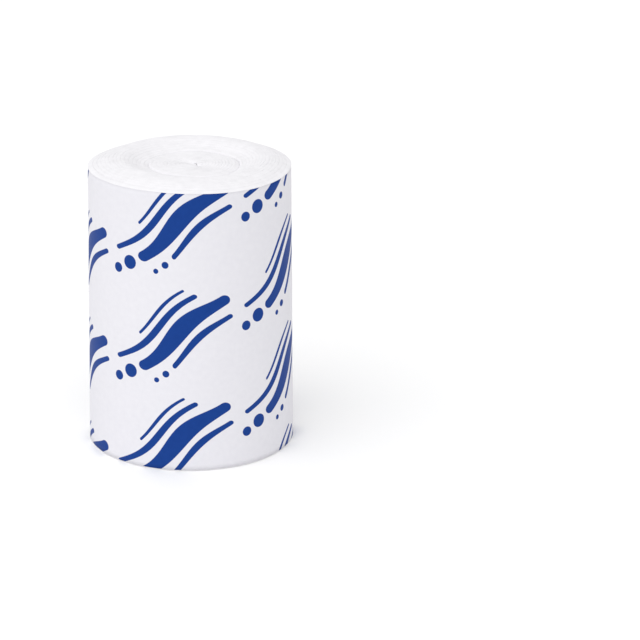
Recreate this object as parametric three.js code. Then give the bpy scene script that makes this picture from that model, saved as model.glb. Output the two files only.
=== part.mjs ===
// A roll of cast padding, standing on its end: one long strip of soft white wadding wound on itself,
// kept closed by a thin paper sleeve that is lapped and glued at the back.
// Millimetres, +Z up. The origin is the centre of the foot, on the surface that the roll stands on.
import * as THREE from "three";

const { degToRad, euclideanModulo, lerp, smoothstep } = THREE.MathUtils;

// The wound strip
const STRIP_LENGTH = 3000; // unrolled
const ROLL_HEIGHT = 100; // the strip's width, up to the top of the crown
const FOOT_RADIUS = 36.2; // over the sleeve, in line with the strip's cut end
const HEAD_RADIUS = 35; // the same at the head: the roll narrows a little upwards
const CORE_RADIUS = 1.8; // the tight first turn
const CUT_END_ANGLE = 115; // degrees from +X: the last turn ends at the back
const SEGMENTS_A_TURN = 30;

// The edge of one turn, from the groove on its inner side outwards
const TURN_EDGE = [
  { across: 0, groove: 1 },
  { across: 0.3, groove: 0 },
  { across: 0.7, groove: 0 },
];
const HEAD_GROOVE = 0.35;
const FOOT_GROOVE = 0.2;

// The soft head: how far each part of it stands over the sleeve's edge, from the axis outwards
const CROWN_RISE = 2.75;
const PUFFED_RING = 0.72; // share of the radius at which the outer turns stand highest
const HEAD_PROFILE = [
  { share: 0, rise: 0.5 }, // the start of the strip
  { share: 0.12, rise: 0.8 },
  { share: 0.3, rise: 1 }, // a low button of the first turns
  { share: 0.42, rise: 0.7 },
  { share: 0.457, rise: 0.35 }, // the crease round it
  { share: 0.5, rise: 0.7 },
  { share: PUFFED_RING, rise: CROWN_RISE },
];
const SHOULDER_DROP = 1.85; // from the ring to the outermost turn, in a round shoulder
const CORE_HOLLOW = 0.5; // depth of the hollow at the start of the strip
const RISE_UNEVENNESS = 0.12;
const SHOULDER_INSET = 0.5;

// The sleeve
const SLEEVE_WALL = 1;
const SLEEVE_FOOT_EDGE = 0.4;
const SLEEVE_HEAD_EDGE = ROLL_HEIGHT - CROWN_RISE;
const SLEEVE_EDGE_WAVES = [
  { waves: 2, height: 0.25, turned: -0.08 },
  { waves: 3, height: 0.13, turned: 2.2 },
  { waves: 4, height: 0.1, turned: 1.5 },
];
const SLEEVE_SEGMENTS = 72;
const CLEARANCE = 0.35; // from the wadding
const SPAN_TURNS = 1 / 18; // where the sleeve spans the step at the cut end
const LAP_ANGLE = 68; // degrees from +X: the free edge of the lap
const LAP_EDGE_WIDTH = 0.4; // degrees, so that the free edge is a step
const LAP_WIDTH = 14;
const LAP_STEP = 0.4;
const LAP_FADE = 6; // over which the buried edge shows through

const WADDING_INSET = SLEEVE_WALL + CLEARANCE;
const WADDING_RADIUS = HEAD_RADIUS - WADDING_INSET;
const TURNS = Math.round(STRIP_LENGTH / (Math.PI * (WADDING_RADIUS + CORE_RADIUS)));
const PITCH = (WADDING_RADIUS - CORE_RADIUS) / TURNS;

// Outside radius of the sleeve at a height, in line with the cut end.
function outsideRadius(z) {
  return lerp(FOOT_RADIUS, HEAD_RADIUS, z / ROLL_HEIGHT);
}

// The edge at the head is never quite level: a few slow waves round the roll.
function edgeWave(angle) {
  let rise = 0;
  for (const { waves, height, turned } of SLEEVE_EDGE_WAVES) {
    rise += height * Math.sin(waves * angle + turned);
  }
  return rise;
}

// Height of the head over the sleeve's edge, at a share of its radius.
function headRise(share) {
  if (share > PUFFED_RING) {
    return CROWN_RISE - SHOULDER_DROP * ((share - PUFFED_RING) / (1 - PUFFED_RING)) ** 2;
  }
  const next = Math.max(
    HEAD_PROFILE.findIndex((row) => row.share >= share),
    1,
  );
  const inner = HEAD_PROFILE[next - 1];
  const outer = HEAD_PROFILE[next];
  return lerp(inner.rise, outer.rise, smoothstep(share, inner.share, outer.share));
}

// A closed surface, put together from rows of points. Each row runs anticlockwise, seen from above.
class Surface {
  positions = [];
  index = [];

  addPoint(radius, angle, z) {
    this.positions.push(radius * Math.cos(angle), radius * Math.sin(angle), z);
    return this.positions.length / 3 - 1;
  }

  // From an inner row to an outer one it faces up, and from an upper row to a lower one it faces out.
  addStrip(from, to) {
    for (let i = 0; i + 1 < from.length; i++) {
      this.index.push(from[i], to[i], to[i + 1]);
      this.index.push(from[i], to[i + 1], from[i + 1]);
    }
  }

  addFan(middle, loop, facesUp) {
    for (let i = 0; i < loop.length; i++) {
      const next = loop[(i + 1) % loop.length];
      this.index.push(middle, facesUp ? loop[i] : next, facesUp ? next : loop[i]);
    }
  }

  geometry() {
    const geometry = new THREE.BufferGeometry();
    geometry.setAttribute("position", new THREE.Float32BufferAttribute(this.positions, 3));
    geometry.setIndex(this.index);
    geometry.computeVertexNormals();
    return geometry;
  }
}

// One end of the roll: the edges of all its turns, as one spiral from the core to the cut end.
// height(share of the radius, angle, groove, turns from the core) gives its form.
// Returns the outline: the last turn, then back across the cut end.
function addEndFace(surface, radius, height, middleHeight, facesUp) {
  const turnWidth = (radius - CORE_RADIUS) / TURNS;
  const stations = (TURNS - 1) * SEGMENTS_A_TURN;
  const lines = TURN_EDGE.map(({ across, groove }) => {
    const length = across === 0 ? stations + SEGMENTS_A_TURN : stations;
    const line = [];
    for (let station = 0; station <= length; station++) {
      const turns = station / SEGMENTS_A_TURN;
      const angle = degToRad(CUT_END_ANGLE) + 2 * Math.PI * turns;
      const r = CORE_RADIUS + turnWidth * (turns + across);
      line.push(surface.addPoint(r, angle, height(Math.min(r / radius, 1), angle, groove, turns)));
    }
    return line;
  });

  // Each turn ends in the groove that the next one starts from.
  const [groove, ...crests] = lines;
  const acrossOneTurn = [groove.slice(0, stations + 1), ...crests, groove.slice(SEGMENTS_A_TURN)];
  for (let i = 0; i + 1 < acrossOneTurn.length; i++) {
    const inner = acrossOneTurn[i];
    const outer = acrossOneTurn[i + 1];
    surface.addStrip(facesUp ? inner : outer, facesUp ? outer : inner);
  }

  // The core, with the strip's turned-in start beside its middle
  const startEdge = crests.map((line) => line[0]).reverse();
  const middle = surface.addPoint(CORE_RADIUS / 3, degToRad(CUT_END_ANGLE - 90), middleHeight);
  surface.addFan(middle, [...groove.slice(0, SEGMENTS_A_TURN + 1), ...startEdge], facesUp);

  const cutEdge = crests.map((line) => line[stations]).reverse();
  return [...groove.slice(stations), ...cutEdge];
}

function paddingRoll() {
  const surface = new Surface();
  const headHeight = (share, angle, groove, turns) =>
    SLEEVE_HEAD_EDGE + headRise(share) + edgeWave(angle) - HEAD_GROOVE * groove +
    RISE_UNEVENNESS * Math.sin(2.4 * turns);
  const hollow = SLEEVE_HEAD_EDGE + headRise(0) - CORE_HOLLOW;
  const head = addEndFace(surface, HEAD_RADIUS - SHOULDER_INSET, headHeight, hollow, true);

  // The side, downwards. Each row is set in from the outside of the sleeve.
  const rows = [
    { inset: 0.15, z: SLEEVE_HEAD_EDGE + 0.65, wave: 1 }, // the wadding bulges over the sleeve's edge
    { inset: 0.4, z: SLEEVE_HEAD_EDGE + 0.4, wave: 1 },
    { inset: WADDING_INSET, z: SLEEVE_HEAD_EDGE + 0.3, wave: 1 },
    { inset: WADDING_INSET, z: 0.66 * ROLL_HEIGHT, wave: 0 },
    { inset: WADDING_INSET, z: 0.33 * ROLL_HEIGHT, wave: 0 },
    { inset: WADDING_INSET, z: 2, wave: 0 },
    { inset: WADDING_INSET + 0.7, z: 0.8, wave: 0 },
  ];
  let upper = head;
  for (const row of rows) {
    const lower = upper.map((_, i) => {
      const onCutEnd = i > SEGMENTS_A_TURN;
      const turnShare = onCutEnd ? TURN_EDGE.at(SEGMENTS_A_TURN - i).across : i / SEGMENTS_A_TURN;
      const angle = degToRad(CUT_END_ANGLE) + (onCutEnd ? 0 : 2 * Math.PI * turnShare);
      const radius = outsideRadius(row.z) - row.inset - PITCH * (1 - turnShare);
      return surface.addPoint(radius, angle, row.z + row.wave * edgeWave(angle));
    });
    surface.addStrip([...upper, upper[0]], [...lower, lower[0]]);
    upper = lower;
  }

  // The foot is pressed flat by what it stands on: only the grooves between the turns stay clear of it,
  // and the core has none.
  const footHeight = (share, angle, groove, turns) => FOOT_GROOVE * groove * smoothstep(turns, 1, 2);
  const foot = addEndFace(surface, FOOT_RADIUS - WADDING_INSET - 1.6, footHeight, 0, false);
  surface.addStrip([...upper, upper[0]], [...foot, foot[0]]);
  return surface.geometry();
}

// The sleeve follows the wound outline, spans the step at the cut end, and is thicker at its lap.
function paperSleeve() {
  const angles = [LAP_ANGLE, LAP_ANGLE + LAP_EDGE_WIDTH];
  for (let i = 0; i < SLEEVE_SEGMENTS; i++) {
    angles.push((360 * i) / SLEEVE_SEGMENTS);
  }
  angles.sort((a, b) => a - b);

  const insideRadius = (angle) => {
    const turn = euclideanModulo(angle - CUT_END_ANGLE, 360) / 360;
    const spanned = (1 - SPAN_TURNS) * smoothstep(turn, 0, SPAN_TURNS);
    return HEAD_RADIUS - SLEEVE_WALL - PITCH * (turn < SPAN_TURNS ? spanned : 1 - turn);
  };
  const outsideOfLap = (angle) => {
    const fromFreeEdge = HEAD_RADIUS * degToRad(LAP_ANGLE - angle);
    const fade = smoothstep(fromFreeEdge, LAP_WIDTH, LAP_WIDTH + LAP_FADE);
    const lap = fromFreeEdge < 0 ? 0 : LAP_STEP * (1 - fade);
    return insideRadius(angle) + SLEEVE_WALL + lap;
  };
  const outline = (radiusAt) =>
    angles.map((angle) => {
      const point = new THREE.Vector2(radiusAt(angle), 0);
      return point.rotateAround(new THREE.Vector2(), degToRad(angle));
    });

  const section = new THREE.Shape(outline(outsideOfLap));
  section.holes.push(new THREE.Path(outline(insideRadius)));
  const geometry = new THREE.ExtrudeGeometry(section, { depth: 1, steps: 4, bevelEnabled: false });

  // From a plain tube one unit long to its height, with the roll's taper and the wave of its upper edge
  const position = geometry.getAttribute("position");
  const point = new THREE.Vector3();
  for (let i = 0; i < position.count; i++) {
    point.fromBufferAttribute(position, i);
    const share = point.z;
    const angle = Math.atan2(point.y, point.x);
    const level = lerp(SLEEVE_FOOT_EDGE, SLEEVE_HEAD_EDGE, share);
    const radius = Math.hypot(point.x, point.y) + outsideRadius(level) - HEAD_RADIUS;
    point.set(radius * Math.cos(angle), radius * Math.sin(angle), level + share * edgeWave(angle));
    position.setXYZ(i, point.x, point.y, point.z);
  }
  geometry.computeVertexNormals();
  return geometry;
}

function piece(name, geometry, color, roughness) {
  const material = new THREE.MeshStandardMaterial({ color, roughness, metalness: 0 });
  const mesh = new THREE.Mesh(geometry, material);
  mesh.name = name;
  return mesh;
}

const roll = new THREE.Group();
roll.add(piece("padding_roll", paddingRoll(), 0xf6f6f7, 0.95));
roll.add(piece("paper_sleeve", paperSleeve(), 0xeeeef3, 0.6));

export default roll;
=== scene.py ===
# A roll of cast padding, standing on its end: a strip of white polyester wadding wound on itself, and the
# printed paper sleeve that keeps it closed. Metres, +Z up, with the origin at the centre of the foot.
import math

import bmesh
import bpy
from mathutils import Euler, Matrix, Vector, noise


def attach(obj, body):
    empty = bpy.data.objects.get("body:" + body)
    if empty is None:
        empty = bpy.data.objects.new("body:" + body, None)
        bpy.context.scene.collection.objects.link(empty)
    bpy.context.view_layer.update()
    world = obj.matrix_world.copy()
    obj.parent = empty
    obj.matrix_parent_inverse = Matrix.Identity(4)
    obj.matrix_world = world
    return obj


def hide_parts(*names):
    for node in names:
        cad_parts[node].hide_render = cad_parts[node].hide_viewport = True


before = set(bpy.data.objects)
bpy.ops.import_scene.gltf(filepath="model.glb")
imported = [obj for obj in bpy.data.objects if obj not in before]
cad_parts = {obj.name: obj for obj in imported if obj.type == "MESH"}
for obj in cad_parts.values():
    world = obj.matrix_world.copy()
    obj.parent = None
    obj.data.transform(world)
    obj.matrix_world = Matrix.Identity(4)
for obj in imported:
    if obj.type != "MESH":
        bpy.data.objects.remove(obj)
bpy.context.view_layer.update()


# The camera: a long lens from a little above, far enough away that the roll's sides hardly converge.
# The roll stands left of the middle of the picture, and the picture is turned by less than half a degree.
PICTURE_PX = 640
AIM_HEIGHT = 0.0495  # half the roll's height, near enough
AIM_IN_PICTURE_PX = (189.9, 298.3)  # where that place on the axis shows
CAMERA_ELEVATION = math.radians(19.1)
CAMERA_DISTANCE = 0.894
CAMERA_ROLL = math.radians(0.4)
SENSOR_MM = 36
LENS_MM = 146

camera_data = bpy.data.cameras.new("camera")
camera_data.sensor_width = SENSOR_MM
camera_data.lens = LENS_MM
camera = bpy.data.objects.new("camera", camera_data)
bpy.context.scene.collection.objects.link(camera)
bpy.context.scene.camera = camera

lens_px = PICTURE_PX * LENS_MM / SENSOR_MM
turn_aside = math.atan((AIM_IN_PICTURE_PX[0] - PICTURE_PX / 2) / lens_px)
nod = math.atan((AIM_IN_PICTURE_PX[1] - PICTURE_PX / 2) / lens_px)
aim = Vector((0, 0, AIM_HEIGHT))
towards_camera = Vector((0, -math.cos(CAMERA_ELEVATION), math.sin(CAMERA_ELEVATION)))
facing_roll = Euler((math.radians(90) - CAMERA_ELEVATION, 0, 0)).to_matrix().to_4x4()
framing = Matrix.Rotation(turn_aside, 4, "Y") @ Matrix.Rotation(nod, 4, "X")
camera.matrix_world = (
    Matrix.Translation(aim + towards_camera * CAMERA_DISTANCE)
    @ facing_roll
    @ Matrix.Rotation(-CAMERA_ROLL, 4, "Z")
    @ framing
)


# The studio: a white room that lights the roll from all round, and one wide, soft light from the upper left
# in front, so that the roll's right side and the back of its head are a little darker.
ROOM_BRIGHTNESS = 0.8
SOFT_LIGHT_STRENGTH = 1.2
SOFT_LIGHT_SPREAD = math.radians(80)
TOWARDS_SOFT_LIGHT = Vector((-0.34, -0.54, 0.77))

bpy.context.scene.view_settings.view_transform = "Standard"
world = bpy.data.worlds.new("white_room")
bpy.context.scene.world = world
world.use_nodes = True
world.node_tree.nodes["Background"].inputs["Color"].default_value = (1, 1, 1, 1)
world.node_tree.nodes["Background"].inputs["Strength"].default_value = ROOM_BRIGHTNESS

light_data = bpy.data.lights.new("soft_light", "SUN")
light_data.energy = SOFT_LIGHT_STRENGTH
light_data.angle = SOFT_LIGHT_SPREAD
light = bpy.data.objects.new("soft_light", light_data)
light.rotation_euler = TOWARDS_SOFT_LIGHT.to_track_quat("Z", "Y").to_euler()
bpy.context.scene.collection.objects.link(light)


# The floor: a sheet of white laminate, so large that its edges stay out of the picture. It is part of the
# studio, not of the roll.
FLOOR_SIZE = 6.0


def linear(hex_colour):
    """An sRGB hex colour, such as #FFFFFF, as linear RGBA."""
    channels = [int(hex_colour[i : i + 2], 16) / 255 for i in (1, 3, 5)]
    return [c / 12.92 if c <= 0.04045 else ((c + 0.055) / 1.055) ** 2.4 for c in channels] + [1]


def add_node(tree, kind, inputs=None, **settings):
    """Adds a node. An input is a value, a socket, or a node, which stands for its first output."""
    node = tree.nodes.new(kind)
    for name, value in settings.items():
        setattr(node, name, value)
    for key, value in (inputs or {}).items():
        if isinstance(value, bpy.types.Node):
            value = value.outputs[0]
        if isinstance(value, bpy.types.NodeSocket):
            tree.links.new(value, node.inputs[key])
        else:
            node.inputs[key].default_value = value
    return node


def new_material(name):
    """A material without nodes, and its node tree."""
    material = bpy.data.materials.new(name)
    material.use_nodes = True
    material.node_tree.nodes.clear()
    return material, material.node_tree


def new_piece(name, bm, *materials):
    """Makes an object from a bmesh, smooth, with its materials."""
    mesh = bpy.data.meshes.new(name)
    for face in bm.faces:
        face.smooth = True
    bm.to_mesh(mesh)
    bm.free()
    for material in materials:
        mesh.materials.append(material)
    piece = bpy.data.objects.new(name, mesh)
    bpy.context.scene.collection.objects.link(piece)
    return piece


# White laminate: smooth but dull, so it shows no reflection of the roll, only a faint shade round its foot
laminate, tree = new_material("white_laminate")
laminate_shader = add_node(
    tree, "ShaderNodeBsdfPrincipled", {"Base Color": linear("#FEFEFE"), "Roughness": 0.7, "IOR": 1.5}
)
add_node(tree, "ShaderNodeOutputMaterial", {"Surface": laminate_shader})

bm = bmesh.new()
bmesh.ops.create_grid(bm, x_segments=1, y_segments=1, size=FLOOR_SIZE / 2)
floor = new_piece("floor", bm, laminate)


# The padding: one strip of carded polyester wadding, 3 m by 100 mm, cut square and wound on itself from a
# tight start. Each turn shows its soft edge at both ends. The floor presses the foot's edges flat, and at
# the head the outer turns puff up round a low button of inner ones.
ROLL_HEIGHT = 0.100
FOOT_RADIUS = 0.0362  # over the sleeve, in line with the strip's cut end
HEAD_RADIUS = 0.035
SLEEVE_ROOM = 0.0005  # from the wadding to the outside of the sleeve
CROWN_RISE = 0.00275
SLEEVE_HEAD_EDGE = ROLL_HEIGHT - CROWN_RISE

# The winding, from the core outwards
TURNS = 27
STEPS_A_TURN = 128
CORE_RADIUS = 0.0014  # of the first turn's outside, where the strip has gone once round
CORE_OFFSET = Vector((0.0025, -0.001, 0))  # it began off the axis
START_GAP = 0.00005  # from the axis to the turned-in start
START_TURNS = 0.25  # over which the second turn climbs over the start
TURN_UNEVENNESS = 0.00022  # in and out
UNEVEN_SPOTS_A_TURN = 2.9
EVEN_TURNS = (1, 3)  # counted from either end of the strip: the unevenness sets in between them
CUT_END_ANGLE = math.radians(115)
CUT_END_STEPS = 2  # over which the soft cut end is rounded
CUT_END_ROUNDING = 0.25  # share of its thickness, off either face
SPAN_TURNS = 1 / 18  # the sleeve spans the step at the cut end

# How far the head stands over the sleeve's edge, from the axis outwards: (share of the radius, rise)
PUFFED_RING = 0.72
CREASE = 0.457
HEAD_PROFILE = (
    (0, 0.0003),  # the hollow where the strip starts
    (0.12, 0.0008),
    (0.3, 0.001),  # the button
    (0.42, 0.0007),
    (CREASE, 0.0003),
    (0.5, 0.0007),
    (PUFFED_RING, CROWN_RISE),
)
SHOULDER_DROP = 0.00255  # from the ring's top to the outermost turn's edge

# The head's unevenness: (height, width) of broad swellings, of clumps, and of tufts
SWELLING = (0.00012, 0.011)
CLUMP = (0.00004, 0.005)
TUFT = (0.00003, 0.0018)
CLUMP_CHANGE = 0.9  # from one turn's clumps to the next one's, as a share of a clump
GROOVE_PATCH = 0.009  # width of the places where the turns' grooves are shallow or deep
GROOVE_PATCH_EDGE = (-0.3, 0.5)  # where the noise is lower all are shallow, and where it is higher all deep
SHALLOW_GROOVE = 0.3  # share of the depth in the strip's cross-section
DEEP_GROOVE = 1.2
CREASE_DEPTH = 3  # the same share, added in the crease
CREASE_WIDTH = 0.018  # share of the radius
LEVEL_SHARE = 0.97  # of the radius, from which the sleeve holds the head level

# How the outermost turn fills the sleeve at its edges
LAST_TURN_SHARE = 0.95  # of the radius, from which it bulges
HEAD_BULGE_START = -0.0003  # from the sleeve's head edge
OVERHANG = 0.00005  # over that edge
FOOT_SPREAD = (0.0006, 0.0001)  # heights between which the foot spreads out under the paper

# The sleeve's uneven head edge: (waves round the roll, height, turned by)
EDGE_WAVES = ((2, 0.00025, -0.08), (3, 0.00013, 2.2), (4, 0.0001, 1.5))

# The dents in the sleeve, and the puckers at its edges
DENT_DEPTH = 0.00012
DENT_WIDTH = 0.0159
DENT_HEIGHT = 0.022
PUCKER_WIDTH = 0.007
PUCKER_HEIGHT = 0.01
PUCKER_REACH = 0.004

# Half the strip's cross-section, from the middle of its head edge round to the middle of its foot edge:
# (share of half the thickness, share of the width, lift). The other half mirrors it.
STRIP_SECTION = (
    (0, 1, 0),
    (0.35, 1, -0.00001),
    (0.65, 1, -0.00002),
    (0.85, 1, -0.00005),
    (0.998, 1, -0.0001),  # the turns' edges all but touch
    (0.99, 1, -0.0002),
    (0.97, 1, -0.0006),
    (0.97, 0.5, 0),
    (0.97, 0, 0.0006),
    (0.998, 0, 0.0001),
    (0.85, 0, 0.00003),
    (0.7, 0, 0),
    (0, 0, 0),
)


def smoothstep(x, start, end):
    """0 up to the start and 1 from the end on, with a smooth rise between."""
    x = min(max((x - start) / (end - start), 0), 1)
    return x * x * (3 - 2 * x)


def lumps(x, y, z, width, height=1, seed=0):
    """Smooth unevenness, between -1 and 1, in lumps of a width and height. Each seed gives other lumps."""
    return noise.noise(Vector((x / width, y / width, z / height + seed)))


def along_profile(profile, x):
    """Height of a profile at x, with a level spot at each of its points."""
    for (x0, y0), (x1, y1) in zip(profile, profile[1:]):
        if x <= x1:
            return y0 + (y1 - y0) * smoothstep(x, x0, x1)
    return profile[-1][1]


def over_sleeve(z):
    """Radius over the sleeve at a height, in line with the cut end."""
    return FOOT_RADIUS + (HEAD_RADIUS - FOOT_RADIUS) * z / ROLL_HEIGHT


def strip_thickness(z):
    """Of the strip, as the roll presses it, at a height."""
    return (over_sleeve(z) - SLEEVE_ROOM - CORE_RADIUS) / TURNS


def set_back(angle):
    """How far the sleeve lies inside the circle through the cut end, in thicknesses of the strip."""
    past_cut_end = ((angle - CUT_END_ANGLE) / (2 * math.pi)) % 1
    if past_cut_end < SPAN_TURNS:
        return (1 - SPAN_TURNS) * smoothstep(past_cut_end, 0, SPAN_TURNS)
    return 1 - past_cut_end


def edge_wave(angle):
    """How far the sleeve's head edge, with the wadding over it, stands over or under its mean height."""
    return sum(height * math.sin(waves * angle + turned) for waves, height, turned in EDGE_WAVES)


def sleeve_radius(angle, z, from_edge):
    """Radius over the sleeve. The soft roll leaves the paper slightly dented, and its edges pucker."""
    x, y = HEAD_RADIUS * math.cos(angle), HEAD_RADIUS * math.sin(angle)
    dent = lumps(x, y, z, DENT_WIDTH, DENT_HEIGHT)
    pucker = lumps(x, y, z, PUCKER_WIDTH, PUCKER_HEIGHT, seed=7) * math.exp(-from_edge / PUCKER_REACH)
    return over_sleeve(z) - strip_thickness(z) * set_back(angle) + DENT_DEPTH * (dent + pucker)


def spiral(turn, level):
    """Radius at which the turn that starts here meets the one inside it. Turns count from the core."""
    outside = over_sleeve(level * SLEEVE_HEAD_EDGE) - SLEEVE_ROOM
    radius = CORE_RADIUS + (outside - CORE_RADIUS) * turn / TURNS
    uneven = smoothstep(turn, *EVEN_TURNS) * smoothstep(TURNS - turn, *EVEN_TURNS)
    spot = noise.noise(Vector((UNEVEN_SPOTS_A_TURN * turn, 0.5, 0)))  # at whole numbers it would be 0
    radius += TURN_UNEVENNESS * uneven * spot
    if turn < 0:
        return START_GAP + (radius - START_GAP) * smoothstep(turn, -START_TURNS, 0)
    return radius


def wind(turn, across, level, lift):
    """The place of a point of the strip.

    Across goes from 0 on its inner face to 1 on its outer face, and level from 0 at its foot edge to 1 at
    its head edge. The point stands higher than that level by the lift.
    """
    angle = CUT_END_ANGLE + 2 * math.pi * turn
    direction = Vector((math.cos(angle), math.sin(angle), 0))
    inside = spiral(turn, level)
    rounding = CUT_END_ROUNDING * smoothstep(turn, TURNS - 1 - CUT_END_STEPS / STEPS_A_TURN, TURNS - 1)
    radius = inside + (spiral(turn + 1, level) - inside) * (across + rounding * (1 - 2 * across))

    sleeve_z = level * SLEEVE_HEAD_EDGE
    roll_radius = over_sleeve(sleeve_z) - SLEEVE_ROOM - strip_thickness(sleeve_z) * set_back(angle)
    share = min(radius / roll_radius, 1)
    place = direction * radius + CORE_OFFSET * (1 - share)
    off_ring = max(share - PUFFED_RING, 0) / (1 - PUFFED_RING)
    rise = along_profile(HEAD_PROFILE, share) - SHOULDER_DROP * off_ring**2
    place.z = level * (SLEEVE_HEAD_EDGE + edge_wave(angle) + rise)

    # The last turn bulges out over the sleeve's head edge, and the floor spreads it under the foot edge.
    if level != 0.5:
        bulge = smoothstep(rise + lift, HEAD_BULGE_START, 0) if level else smoothstep(lift, *FOOT_SPREAD)
        room = sleeve_radius(angle, sleeve_z, 0) + OVERHANG - roll_radius
        place += direction * room * bulge * smoothstep(share, LAST_TURN_SHARE, 1)

    # The head is softly uneven, each turn's edge stands a little higher or lower than its neighbours', and
    # the grooves between them come and go. Only the outermost edge is held level, by the sleeve.
    if level == 1:
        loose = 1 - smoothstep(share, LEVEL_SHARE, 1)
        for (height, width), seed in ((SWELLING, 0), (CLUMP, CLUMP_CHANGE * turn), (TUFT, 5)):
            place.z += loose * height * lumps(place.x, place.y, 0, width, seed=seed)
        deep = smoothstep(lumps(place.x, place.y, 0, GROOVE_PATCH, seed=9), *GROOVE_PATCH_EDGE)
        depth = SHALLOW_GROOVE + (DEEP_GROOVE - SHALLOW_GROOVE) * deep
        depth += CREASE_DEPTH * math.exp(-(((share - CREASE) / CREASE_WIDTH) ** 2))
        lift *= 1 + loose * (depth - 1)
    place.z += lift
    return place


section = list(STRIP_SECTION) + [(-across, level, lift) for across, level, lift in STRIP_SECTION[-2:0:-1]]
half_thickness = strip_thickness(ROLL_HEIGHT / 2) / 2
round_section = [0.0]  # lengths round the section, for the flat pattern
for (across0, level0, lift0), (across1, level1, lift1) in zip(section, section[1:] + section[:1]):
    rise = (level1 - level0) * ROLL_HEIGHT + lift1 - lift0
    round_section.append(round_section[-1] + math.hypot((across1 - across0) * half_thickness, rise))

steps = TURNS * STEPS_A_TURN
along_strip = [0.0]
for step in range(steps):
    turn = step / STEPS_A_TURN - 1
    middle_radius = (spiral(turn, 0.5) + spiral(turn + 1, 0.5)) / 2
    along_strip.append(along_strip[-1] + middle_radius * 2 * math.pi / STEPS_A_TURN)

# A flat grid, as long as the strip and as wide as the way round its section, is wound up point by point.
bm = bmesh.new()
bmesh.ops.create_grid(bm, x_segments=steps, y_segments=len(section), size=0.5)
on_grid = {}
for vert in bm.verts:
    on_grid[vert] = (round((vert.co.x + 0.5) * steps), round((vert.co.y + 0.5) * len(section)))
uv_layer = bm.loops.layers.uv.new("flat_strip")
for face in bm.faces:
    for loop in face.loops:
        step, row = on_grid[loop.vert]
        loop[uv_layer].uv = (along_strip[step], round_section[row])
for vert, (step, row) in on_grid.items():
    across, level, lift = section[row % len(section)]
    vert.co = wind(step / STEPS_A_TURN - 1, 0.5 + across / 2, level, lift)
seam = [vert for vert, (step, row) in on_grid.items() if row in (0, len(section))]
bmesh.ops.remove_doubles(bm, verts=seam, dist=1e-6)
bmesh.ops.holes_fill(bm, edges=[edge for edge in bm.edges if edge.is_boundary], sides=0)
bmesh.ops.recalc_face_normals(bm, faces=bm.faces)

# Carded polyester: fine white fibres with air between them, so it is bright and quite matt, and a little
# greyer where they lie thinner. They run along the strip.
FIBRE_LENGTH = 0.004  # as it shows: each fibre is far longer, and curls out of sight
FIBRE_SPACING = 0.00035  # drawn many times coarser than the real 0.02 mm
FIBRE_DEPTH = 0.00015
THIN_SPOT = 0.003  # width
wadding, tree = new_material("polyester_wadding")
strip_place = add_node(tree, "ShaderNodeUVMap", uv_map="flat_strip")
along_fibres = add_node(
    tree,
    "ShaderNodeMapping",
    {"Vector": strip_place, "Scale": (1 / FIBRE_LENGTH, 1 / FIBRE_SPACING, 1)},
)
fibres = add_node(
    tree, "ShaderNodeTexNoise", {"Vector": along_fibres, "Scale": 1, "Detail": 3, "Distortion": 1.2}
)
object_place = add_node(tree, "ShaderNodeTexCoord").outputs["Object"]
spots = add_node(
    tree, "ShaderNodeTexNoise", {"Vector": object_place, "Scale": 1 / THIN_SPOT, "Detail": 3}
)
thickness = add_node(
    tree,
    "ShaderNodeMapRange",
    {"Value": spots.outputs["Fac"], "From Min": 0.3, "From Max": 0.7, "To Min": 0, "To Max": 1},
)
wadding_colour = add_node(
    tree,
    "ShaderNodeMix",
    {0: thickness, 6: linear("#E8E7EA"), 7: linear("#EEEDF0")},
    data_type="RGBA",
)
fibre_bump = add_node(
    tree, "ShaderNodeBump", {"Height": fibres.outputs["Fac"], "Strength": 0.5, "Distance": FIBRE_DEPTH}
)
wadding_shader = add_node(
    tree,
    "ShaderNodeBsdfPrincipled",
    {
        "Base Color": wadding_colour.outputs[2],
        "Roughness": 0.95,
        "IOR": 1.57,
        "Specular IOR Level": 0.1,
        "Normal": fibre_bump,
    },
)
add_node(tree, "ShaderNodeOutputMaterial", {"Surface": wadding_shader})

wadding_strip = new_piece("wadding_strip", bm, wadding)
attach(wadding_strip, "root")
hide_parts("padding_roll")


# The sleeve: one piece of thin white paper, printed in blue, wrapped once round the roll from foot to head
# and glued to itself where it laps, at the back. It follows the wound outline and spans the step at the
# strip's cut end.
PAPER = 0.0002  # twice the real thickness, so that its edge shows
SLEEVE_FOOT_EDGE = 0.0004
LAP_ANGLE = math.radians(68)  # of the free edge
LAP_WIDTH = 0.014
LAP_FADE = 0.005  # over which the paper climbs over its buried edge
LAP_STEP = 0.0003
SLEEVE_STEPS = 240
SLEEVE_ROWS = 56

# On average, the sleeve lies half the strip's thickness inside the circle through the cut end.
once_round = 2 * math.pi * (over_sleeve(ROLL_HEIGHT / 2) - (HEAD_RADIUS / TURNS) / 2)
lap_turns = LAP_WIDTH / once_round
fade_turns = LAP_FADE / once_round
sleeve_length = once_round * (1 + lap_turns)
sleeve_width = SLEEVE_HEAD_EDGE - SLEEVE_FOOT_EDGE


def wrap(along, up):
    """The place of a point of the sleeve: along and up are in metres on the flat paper."""
    turns = along / once_round  # from the buried edge
    angle = LAP_ANGLE + 2 * math.pi * (turns - lap_turns)
    z = SLEEVE_FOOT_EDGE + up + up / sleeve_width * edge_wave(angle)
    radius = sleeve_radius(angle, z, min(up, sleeve_width - up))
    radius += LAP_STEP * smoothstep(turns, 1 - fade_turns, 1)
    return Vector((math.cos(angle) * radius, math.sin(angle) * radius, z))


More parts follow.
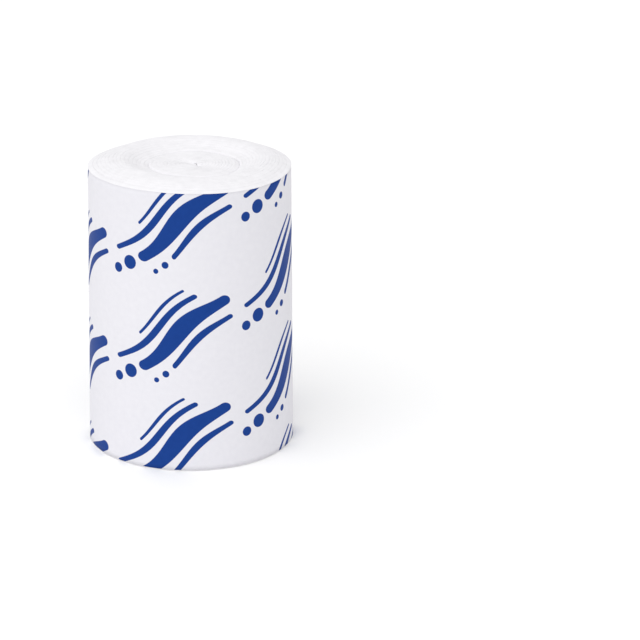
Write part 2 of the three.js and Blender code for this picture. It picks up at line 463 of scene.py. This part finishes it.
bm = bmesh.new()
bmesh.ops.create_grid(bm, x_segments=SLEEVE_STEPS, y_segments=SLEEVE_ROWS, size=0.5)
uv_layer = bm.loops.layers.uv.new("flat_sleeve")
for vert in bm.verts:
    along, up = (vert.co.x + 0.5) * sleeve_length, (vert.co.y + 0.5) * sleeve_width
    for loop in vert.link_loops:
        loop[uv_layer].uv = (along, up)
    vert.co = wrap(along, up)
bmesh.ops.recalc_face_normals(bm, faces=bm.faces)

# Machine-finished paper: smooth, cool white and faintly cloudy, with one blue ink that soaks in a little.
# The print, of wavy brush strokes that end in dots, repeats in columns, each half a repeat lower than the
# last. It is cut off where the paper was cut.
REPEAT_ALONG = 0.046
REPEAT_UP = 0.038
FIRST_COLUMN = 0.016  # from the buried edge
FIRST_ROW = 0.011  # how much of the lowest motif is cut off
MOTIF_SLOPE = math.radians(40)
WAVE_HEIGHT = 0.0015
WAVE_LENGTH = 0.038
# Each stroke: (right of the motif's middle, above it, length, width, width of its ends)
STROKES = (
    (0.0045, 0, 0.040, 0.0064, 0.0038),
    (-0.0022, 0.0063, 0.038, 0.0025, 0.0018),
    (0.0034, 0.0099, 0.0225, 0.0013, 0.001),
    (0.0078, -0.0063, 0.027, 0.0025, 0.0018),
)
# Each dot: (right of the motif's middle, above it, radius)
DOTS = (
    (-0.0195, 0, 0.0024),
    (-0.0251, 0, 0.0017),
    (-0.0092, -0.0063, 0.0012),
    (-0.0132, -0.0063, 0.0009),
)
INK_EDGE = 0.00007
INK_CREEP = 0.00012  # along the paper's fibres
INK_CREEP_WIDTH = 0.0004
CLOUD_WIDTH = 0.002  # of the thicker and thinner places in the paper
TOOTH_WIDTH = 0.0003  # of the paper's fine roughness, drawn several times coarser than it is
TOOTH_DEPTH = 0.00005


def add_cloudy_paper(tree):
    """Adds the nodes of the white paper, and returns the place on the sheet, the clouds and the colour."""
    flat_place = add_node(tree, "ShaderNodeUVMap", uv_map="flat_sleeve")
    cloud = add_node(
        tree, "ShaderNodeTexNoise", {"Vector": flat_place, "Scale": 1 / CLOUD_WIDTH, "Detail": 4}
    )
    colour = add_node(
        tree,
        "ShaderNodeMix",
        {0: cloud.outputs["Fac"], 6: linear("#DBDAE0"), 7: linear("#E3E2E7")},
        data_type="RGBA",
    )
    return flat_place, cloud, colour


printed_paper, tree = new_material("printed_paper")
flat_place, cloud, paper_colour = add_cloudy_paper(tree)
in_repeats = add_node(
    tree,
    "ShaderNodeMapping",
    {
        "Vector": flat_place,
        "Location": (-FIRST_COLUMN / REPEAT_ALONG, FIRST_ROW / REPEAT_UP, 0),
        "Scale": (1 / REPEAT_ALONG, 1 / REPEAT_UP, 1),
    },
)
whole_repeats = add_node(tree, "ShaderNodeVectorMath", {0: in_repeats}, operation="FLOOR")
column = add_node(tree, "ShaderNodeSeparateXYZ", {0: whole_repeats})
drop = add_node(tree, "ShaderNodeMath", {0: column.outputs["X"], 1: -0.5}, operation="MULTIPLY")
drop_up = add_node(tree, "ShaderNodeCombineXYZ", {"Y": drop})
dropped = add_node(tree, "ShaderNodeVectorMath", {0: in_repeats, 1: drop_up}, operation="ADD")
in_repeat = add_node(tree, "ShaderNodeVectorMath", {0: dropped}, operation="FRACTION")
from_middle = add_node(tree, "ShaderNodeVectorMath", {0: in_repeat, 1: (0.5, 0.5, 0)}, operation="SUBTRACT")
on_motif = add_node(
    tree,
    "ShaderNodeMapping",
    {"Vector": from_middle, "Scale": (REPEAT_ALONG, REPEAT_UP, 1), "Rotation": (0, 0, -MOTIF_SLOPE)},
)

along_motif = add_node(tree, "ShaderNodeSeparateXYZ", {0: on_motif})
phase = add_node(
    tree,
    "ShaderNodeMath",
    {0: along_motif.outputs["X"], 1: 2 * math.pi / WAVE_LENGTH},
    operation="MULTIPLY",
)
wave = add_node(tree, "ShaderNodeMath", {0: phase}, operation="SINE")
wave_up = add_node(tree, "ShaderNodeCombineXYZ", {"Y": wave})
unwaved = add_node(
    tree,
    "ShaderNodeVectorMath",
    {0: wave_up, 1: (0, -WAVE_HEIGHT, 0), 2: on_motif},
    operation="MULTIPLY_ADD",
)

# How far a place lies from the nearest ink, in metres, and below zero in the ink
nearest = 1.0
for aside, above, radius in DOTS:
    middle = (aside, above + WAVE_HEIGHT * math.sin(2 * math.pi * aside / WAVE_LENGTH), 0)
    away = add_node(tree, "ShaderNodeVectorMath", {0: on_motif, 1: middle}, operation="DISTANCE")
    outside = add_node(tree, "ShaderNodeMath", {0: away.outputs["Value"], 1: radius}, operation="SUBTRACT")
    nearest = add_node(tree, "ShaderNodeMath", {0: nearest, 1: outside}, operation="MINIMUM")
for aside, above, length, width, end_width in STROKES:
    reach = (length - end_width) / 2
    place = add_node(tree, "ShaderNodeVectorMath", {0: unwaved, 1: (aside, above, 0)}, operation="SUBTRACT")
    spine = add_node(tree, "ShaderNodeVectorMath", {0: place, 1: (-reach, 0, 0)}, operation="MAXIMUM")
    spine = add_node(tree, "ShaderNodeVectorMath", {0: spine, 1: (reach, 0, 0)}, operation="MINIMUM")
    along = add_node(tree, "ShaderNodeVectorMath", {0: spine}, operation="LENGTH")
    half_width = add_node(
        tree,
        "ShaderNodeMapRange",
        {
            "Value": along.outputs["Value"],
            "From Min": 0,
            "From Max": reach,
            "To Min": width / 2,
            "To Max": end_width / 2,
        },
        interpolation_type="SMOOTHSTEP",
    )
    away = add_node(tree, "ShaderNodeVectorMath", {0: place, 1: spine}, operation="DISTANCE")
    outside = add_node(
        tree, "ShaderNodeMath", {0: away.outputs["Value"], 1: half_width}, operation="SUBTRACT"
    )
    nearest = add_node(tree, "ShaderNodeMath", {0: nearest, 1: outside}, operation="MINIMUM")

fuzz = add_node(
    tree, "ShaderNodeTexNoise", {"Vector": flat_place, "Scale": 1 / INK_CREEP_WIDTH, "Detail": 2}
)
crept = add_node(
    tree,
    "ShaderNodeMath",
    {0: fuzz.outputs["Fac"], 1: INK_CREEP, 2: nearest},
    operation="MULTIPLY_ADD",
)
inked = add_node(
    tree,
    "ShaderNodeMapRange",
    {
        "Value": crept,
        "From Min": INK_CREEP / 2 + INK_EDGE,
        "From Max": INK_CREEP / 2 - INK_EDGE,
        "To Min": 0,
        "To Max": 1,
    },
    interpolation_type="SMOOTHSTEP",
)

ink_colour = add_node(
    tree,
    "ShaderNodeMix",
    {0: cloud.outputs["Fac"], 6: linear("#053580"), 7: linear("#0D3D8B")},
    data_type="RGBA",
)
print_colour = add_node(
    tree,
    "ShaderNodeMix",
    {0: inked.outputs["Result"], 6: paper_colour.outputs[2], 7: ink_colour.outputs[2]},
    data_type="RGBA",
)
tooth = add_node(
    tree, "ShaderNodeTexNoise", {"Vector": flat_place, "Scale": 1 / TOOTH_WIDTH, "Detail": 3}
)
tooth_bump = add_node(
    tree, "ShaderNodeBump", {"Height": tooth.outputs["Fac"], "Strength": 0.15, "Distance": TOOTH_DEPTH}
)
print_shader = add_node(
    tree,
    "ShaderNodeBsdfPrincipled",
    {
        "Base Color": print_colour.outputs[2],
        "Roughness": 0.55,
        "IOR": 1.5,
        "Specular IOR Level": 0.15,
        "Normal": tooth_bump,
    },
)
add_node(tree, "ShaderNodeOutputMaterial", {"Surface": print_shader})

# The same paper without print, for its inner face and its cut edges, which are duller
plain_paper, tree = new_material("plain_paper")
paper_colour = add_cloudy_paper(tree)[2]
paper_shader = add_node(
    tree, "ShaderNodeBsdfPrincipled", {"Base Color": paper_colour.outputs[2], "Roughness": 0.65, "IOR": 1.5}
)
add_node(tree, "ShaderNodeOutputMaterial", {"Surface": paper_shader})

printed_sleeve = new_piece("printed_sleeve", bm, printed_paper, plain_paper)
wall = printed_sleeve.modifiers.new("paper_thickness", "SOLIDIFY")
wall.thickness = PAPER
wall.offset = -1
wall.material_offset = 1
wall.material_offset_rim = 1
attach(printed_sleeve, "root")
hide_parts("paper_sleeve")
